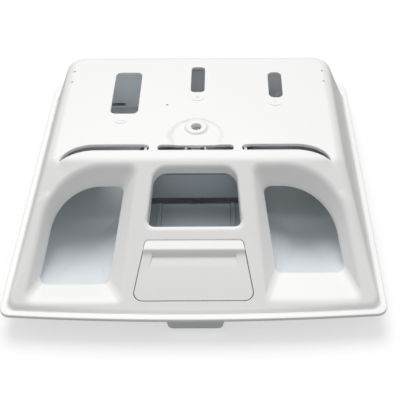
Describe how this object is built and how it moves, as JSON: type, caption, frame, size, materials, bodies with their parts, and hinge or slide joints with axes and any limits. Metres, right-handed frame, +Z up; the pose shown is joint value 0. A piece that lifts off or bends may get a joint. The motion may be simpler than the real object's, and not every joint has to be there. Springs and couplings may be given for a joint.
{
  "type": "detergent dispenser",
  "caption": "Detergent dispenser for a top-loading washing machine: a moulded cover with two funnels and a centre opening on a grey housing, with a release button and latch.",
  "frame": {"origin": "centre of the bounding box, on the surface that the housing stands on", "axes": "+X to the right, +Y from the latch to the water inlets, +Z up through the cover"},
  "size_m": [0.28, 0.2846, 0.0706],
  "materials": {
    "cover_white": "white ABS with a low gloss",
    "housing_grey": "pale cool grey polypropylene",
    "insert_grey": "mid grey polypropylene",
    "steel": "stainless steel",
    "seal": "black EPDM"
  },
  "bodies": {
    "housing": {"front_cover": "cover_white", "rear_housing": "housing_grey", "channel_cover": "housing_grey", "softener_insert": "insert_grey", "siphon_cap": "insert_grey", "cover_screw": "steel", "latch_spring": "steel", "inlet_seal_left": "seal", "inlet_seal_centre": "seal", "inlet_seal_right": "seal"},
    "button": {"release_button": "cover_white"},
    "latch": {"latch_tongue": "insert_grey"}
  },
  "joints": [
    {"name": "button_hinge", "type": "hinge", "parent": "housing", "child": "button", "pos_m": [0, -0.09084, 0.03453], "axis": [1, 0, 0], "range_deg": [0, 6], "stiffness_Nm_per_rad": 0.5, "springref_deg": -14.32},
    {"name": "latch_slide", "type": "slide", "parent": "housing", "child": "latch", "axis": [0, 1, 0], "range_m": [0, 0.004], "deforming": ["latch_spring"]}
  ],
  "couplings": [
    {"joint": "latch_slide", "follows": "button_hinge", "m_per_rad": 0.0381}
  ]
}
